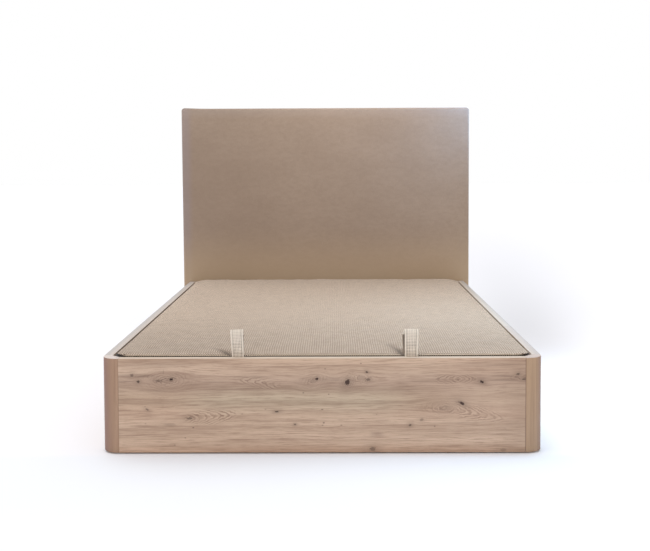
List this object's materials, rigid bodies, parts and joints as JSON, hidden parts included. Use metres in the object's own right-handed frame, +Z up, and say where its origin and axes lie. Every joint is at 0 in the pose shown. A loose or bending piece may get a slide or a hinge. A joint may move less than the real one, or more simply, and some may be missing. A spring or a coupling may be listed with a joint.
{
  "type": "storage bed",
  "caption": "Box bed with a lift-up lid over a storage space, rounded wooden foot corners, gas springs, pull straps and a tall upholstered headboard.",
  "frame": {"origin": "on the floor, below the middle of the whole bed", "axes": "+X to the right as seen from the foot, +Y from the foot to the headboard, +Z up"},
  "size_m": [1.47, 2.026, 1.2],
  "materials": {
    "oak_board": "matt, lying grain with knots",
    "oak_post": "matt, standing grain",
    "pine": "planed, bare",
    "floor_board": "white melamine faced",
    "plywood": "bare",
    "black_steel": "black powder coat",
    "zinc_steel": "zinc plated",
    "spring_body": "black, semi gloss",
    "chrome_rod": "polished",
    "nylon": "matt",
    "lid_fabric": "taupe spacer mesh",
    "headboard_fabric": "plain taupe weave, close and soft",
    "webbing": "light beige webbing",
    "back_cloth": "thin black non-woven"
  },
  "bodies": {
    "frame": {"front_panel": "oak_board", "rear_panel": "oak_board", "left_side_panel": "oak_board", "right_side_panel": "oak_board", "left_corner_post": "oak_post", "right_corner_post": "oak_post", "left_front_glide": "nylon", "left_rear_glide": "nylon", "right_front_glide": "nylon", "right_rear_glide": "nylon", "left_ledge": "pine", "right_ledge": "pine", "front_ledge": "pine", "rear_ledge": "pine", "floor_board_1": "floor_board", "floor_board_2": "floor_board", "floor_board_3": "floor_board", "floor_support_1": "pine", "floor_support_2": "pine", "left_front_bracket": "zinc_steel", "right_front_bracket": "zinc_steel", "left_rear_bracket": "zinc_steel", "right_rear_bracket": "zinc_steel", "left_rest_block": "pine", "right_rest_block": "pine", "left_hinge_plate": "black_steel", "right_hinge_plate": "black_steel", "left_pivot_pin": "zinc_steel", "right_pivot_pin": "zinc_steel", "headboard_cover": "headboard_fabric", "headboard_back_cloth": "back_cloth", "headboard_front_board": "plywood", "headboard_left_stile": "pine", "headboard_right_stile": "pine", "headboard_left_upright": "pine", "headboard_right_upright": "pine", "headboard_bottom_rail": "pine", "headboard_top_rail": "pine", "headboard_left_bolt": "zinc_steel", "headboard_right_bolt": "zinc_steel"},
    "lid": {"lid_board": "plywood", "lid_pad": "lid_fabric", "lid_left_tube": "black_steel", "lid_right_tube": "black_steel", "lid_front_tube": "black_steel", "lid_rear_tube": "black_steel", "lid_cross_tube_1": "black_steel", "lid_cross_tube_2": "black_steel", "left_hinge_arm": "black_steel", "right_hinge_arm": "black_steel", "left_pull_strap": "webbing", "right_pull_strap": "webbing", "left_strap_clamp": "zinc_steel", "right_strap_clamp": "zinc_steel"},
    "left_cylinder": {"left_spring_cylinder": "spring_body"},
    "right_cylinder": {"right_spring_cylinder": "spring_body"},
    "left_rod": {"left_spring_rod": "chrome_rod"},
    "right_rod": {"right_spring_rod": "chrome_rod"}
  },
  "joints": [
    {"name": "lid_hinge", "type": "hinge", "parent": "frame", "child": "lid", "pos_m": [0, 0.705, 0.264], "axis": [-1, 0, 0], "range_deg": [0, 50]},
    {"name": "left_spring_swing", "type": "hinge", "parent": "frame", "child": "left_cylinder", "pos_m": [-0.6565, 0.705, 0.114], "axis": [-1, 0, 0], "range_deg": [0, 36.1]},
    {"name": "left_spring_slide", "type": "slide", "parent": "left_cylinder", "child": "left_rod", "axis": [0, -0.907, 0.4211], "range_m": [0, 0.0937]},
    {"name": "right_spring_swing", "type": "hinge", "parent": "frame", "child": "right_cylinder", "pos_m": [0.6565, 0.705, 0.114], "axis": [-1, 0, 0], "range_deg": [0, 36.1]},
    {"name": "right_spring_slide", "type": "slide", "parent": "right_cylinder", "child": "right_rod", "axis": [0, -0.907, 0.4211], "range_m": [0, 0.0937]}
  ],
  "couplings": [
    {"joint": "left_spring_swing", "follows": "lid_hinge", "ratio": 0.721},
    {"joint": "left_spring_slide", "follows": "lid_hinge", "m_per_rad": 0.1072},
    {"joint": "right_spring_swing", "follows": "lid_hinge", "ratio": 0.721},
    {"joint": "right_spring_slide", "follows": "lid_hinge", "m_per_rad": 0.1072}
  ]
}
